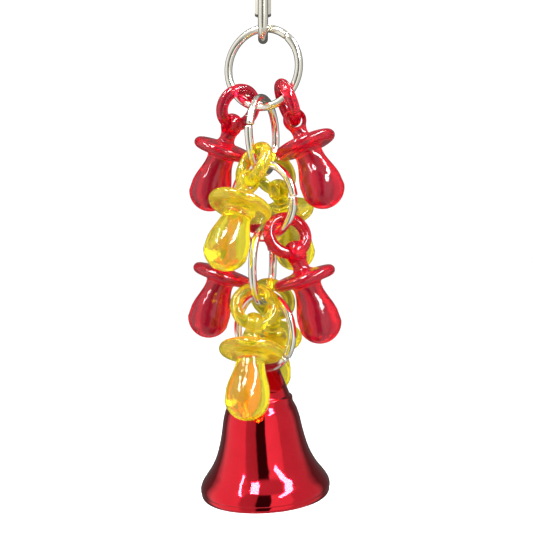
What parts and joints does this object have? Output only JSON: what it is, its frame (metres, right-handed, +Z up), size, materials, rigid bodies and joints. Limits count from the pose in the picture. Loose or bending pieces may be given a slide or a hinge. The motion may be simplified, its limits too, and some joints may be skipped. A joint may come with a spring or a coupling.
{
  "type": "hanging bell chain toy",
  "caption": "Hanging chain: a screw link and linked metal rings carry clear red and yellow pacifier charms in pairs, with a red metal bell and its clapper at the bottom",
  "frame": {"origin": "inner top of the quick link, the point the chain hangs from", "axes": "+Z up along the hanging chain, -Y towards the front, +X to the right"},
  "size_m": [0.0542, 0.0593, 0.1914],
  "materials": {
    "polished_nickel": "polished nickel plate",
    "clear_red": "clear tinted red plastic, moulded solid, glossy",
    "clear_yellow": "clear tinted yellow plastic, moulded solid, glossy",
    "red_metal": "bright metal with a transparent candy red lacquer, mirror gloss"
  },
  "bodies": {
    "link": {"link_body": "polished_nickel"},
    "nut": {"link_nut": "polished_nickel"},
    "ring_1": {"ring_1": "polished_nickel"},
    "ring_2": {"ring_2": "polished_nickel"},
    "ring_3": {"ring_3": "polished_nickel"},
    "ring_4": {"ring_4": "polished_nickel"},
    "ring_5": {"ring_5": "polished_nickel"},
    "pacifier_1_ring": {"pacifier_1_handle": "clear_red"},
    "pacifier_1": {"pacifier_1_body": "clear_red"},
    "pacifier_2_ring": {"pacifier_2_handle": "clear_red"},
    "pacifier_2": {"pacifier_2_body": "clear_red"},
    "pacifier_3_ring": {"pacifier_3_handle": "clear_yellow"},
    "pacifier_3": {"pacifier_3_body": "clear_yellow"},
    "pacifier_4_ring": {"pacifier_4_handle": "clear_yellow"},
    "pacifier_4": {"pacifier_4_body": "clear_yellow"},
    "pacifier_5_ring": {"pacifier_5_handle": "clear_red"},
    "pacifier_5": {"pacifier_5_body": "clear_red"},
    "pacifier_6_ring": {"pacifier_6_handle": "clear_red"},
    "pacifier_6": {"pacifier_6_body": "clear_red"},
    "pacifier_7_ring": {"pacifier_7_handle": "clear_yellow"},
    "pacifier_7": {"pacifier_7_body": "clear_yellow"},
    "pacifier_8_ring": {"pacifier_8_handle": "clear_yellow"},
    "pacifier_8": {"pacifier_8_body": "clear_yellow"},
    "bell": {"bell_shell": "red_metal", "clapper_bar": "polished_nickel"},
    "clapper": {"clapper_hook": "polished_nickel", "clapper_ball": "polished_nickel"}
  },
  "joints": [
    {"name": "nut_slide", "type": "slide", "parent": "link", "child": "nut", "axis": [0, 0, 1], "range_m": [0, 0.005]},
    {"name": "ring_1_swing", "type": "hinge", "parent": "link", "child": "ring_1", "pos_m": [0, 0, -0.02875], "axis": [0, 1, 0], "range_deg": [-40, 40]},
    {"name": "ring_2_swing", "type": "hinge", "parent": "ring_1", "child": "ring_2", "pos_m": [0, 0, -0.0525], "axis": [0.8988, -0.4384, 0], "range_deg": [-6, 10]},
    {"name": "ring_3_swing", "type": "hinge", "parent": "ring_2", "child": "ring_3", "pos_m": [0, 0, -0.0752], "axis": [-0.3584, -0.9336, 0], "range_deg": [-1, 5]},
    {"name": "ring_4_swing", "type": "hinge", "parent": "ring_3", "child": "ring_4", "pos_m": [0, 0, -0.0979], "axis": [0.7986, -0.6018, 0], "range_deg": [-3, 1]},
    {"name": "ring_5_swing", "type": "hinge", "parent": "ring_4", "child": "ring_5", "pos_m": [0.00049, 0.00173, -0.12047], "axis": [0.273, 0.9519, 0.1392], "range_deg": [-3, 12]},
    {"name": "pacifier_1_swing", "type": "hinge", "parent": "ring_1", "child": "pacifier_1_ring", "pos_m": [-0.00701, 0.00342, -0.05004], "axis": [0.7362, -0.3591, -0.5736], "range_deg": [-80, 4]},
    {"name": "pacifier_1_nod", "type": "hinge", "parent": "pacifier_1_ring", "child": "pacifier_1", "pos_m": [-0.01101, 0.00514, -0.05803], "axis": [-0.7854, -0.5996, 0.1539], "range_deg": [-75, 0]},
    {"name": "pacifier_2_swing", "type": "hinge", "parent": "ring_1", "child": "pacifier_2_ring", "pos_m": [0.00736, -0.00359, -0.04976], "axis": [0.7178, -0.3501, 0.6018], "range_deg": [-6, 6]},
    {"name": "pacifier_2_nod", "type": "hinge", "parent": "pacifier_2_ring", "child": "pacifier_2", "pos_m": [0.01078, -0.00588, -0.05772], "axis": [-0.097, 0.9824, -0.1598], "range_deg": [-75, 0]},
    {"name": "pacifier_3_swing", "type": "hinge", "parent": "ring_2", "child": "pacifier_3_ring", "pos_m": [-0.00327, -0.00852, -0.07142], "axis": [-0.2534, -0.6601, 0.7071], "range_deg": [-40, 0]},
    {"name": "pacifier_3_nod", "type": "hinge", "parent": "pacifier_3_ring", "child": "pacifier_3", "pos_m": [-0.00497, -0.01301, -0.07894], "axis": [0.5793, -0.7989, 0.162], "range_deg": [-75, 0]},
    {"name": "pacifier_4_swing", "type": "hinge", "parent": "ring_2", "child": "pacifier_4_ring", "pos_m": [0.00265, 0.00691, -0.07287], "axis": [0.2936, 0.7647, 0.5736], "range_deg": [-16, 0]},
    {"name": "pacifier_4_nod", "type": "hinge", "parent": "pacifier_4_ring", "child": "pacifier_4", "pos_m": [0.00552, 0.01032, -0.08087], "axis": [-0.8461, 0.533, -0.0053], "range_deg": [-75, 0]},
    {"name": "pacifier_5_swing", "type": "hinge", "parent": "ring_3", "child": "pacifier_5_ring", "pos_m": [-0.00676, 0.00509, -0.09474], "axis": [0.6027, -0.4542, -0.6561], "range_deg": [-44, 0]},
    {"name": "pacifier_5_nod", "type": "hinge", "parent": "pacifier_5_ring", "child": "pacifier_5", "pos_m": [-0.01146, 0.00663, -0.10233], "axis": [-0.7976, -0.5491, 0.2496], "range_deg": [-75, 0]},
    {"name": "pacifier_6_swing", "type": "hinge", "parent": "ring_3", "child": "pacifier_6_ring", "pos_m": [0.00648, -0.00489, -0.09502], "axis": [0.6207, -0.4677, 0.6293], "range_deg": [0, 36]},
    {"name": "pacifier_6_nod", "type": "hinge", "parent": "pacifier_6_ring", "child": "pacifier_6", "pos_m": [0.01103, -0.00695, -0.10261], "axis": [0.8704, 0.3959, 0.2928], "range_deg": [-75, 0]},
    {"name": "pacifier_7_swing", "type": "hinge", "parent": "ring_4", "child": "pacifier_7_ring", "pos_m": [-0.00183, -0.00639, -0.11876], "axis": [-0.2363, -0.824, 0.515], "range_deg": [-36, 12]},
    {"name": "pacifier_7_nod", "type": "hinge", "parent": "pacifier_7_ring", "child": "pacifier_7", "pos_m": [-0.00309, -0.01097, -0.12658], "axis": [-0.9931, -0.0441, 0.1084], "range_deg": [0, 75]},
    {"name": "pacifier_8_swing", "type": "hinge", "parent": "ring_4", "child": "pacifier_8_ring", "pos_m": [0.00229, 0.00797, -0.11758], "axis": [0.2111, 0.7364, 0.6428], "range_deg": [-38, 2]},
    {"name": "pacifier_8_nod", "type": "hinge", "parent": "pacifier_8_ring", "child": "pacifier_8", "pos_m": [0.00359, 0.01216, -0.12549], "axis": [-0.9271, 0.339, 0.1601], "range_deg": [-75, 0]},
    {"name": "bell_swing", "type": "hinge", "parent": "ring_5", "child": "bell", "pos_m": [0.00049, 0.00173, -0.14317], "axis": [-0.7314, 0.682, 0], "range_deg": [-14, 18]},
    {"name": "clapper_swing", "type": "hinge", "parent": "bell", "child": "clapper", "pos_m": [-0.00087, 0.00058, -0.15417], "axis": [0.8646, 0.5, 0.0499], "range_deg": [-26, 26]}
  ]
}
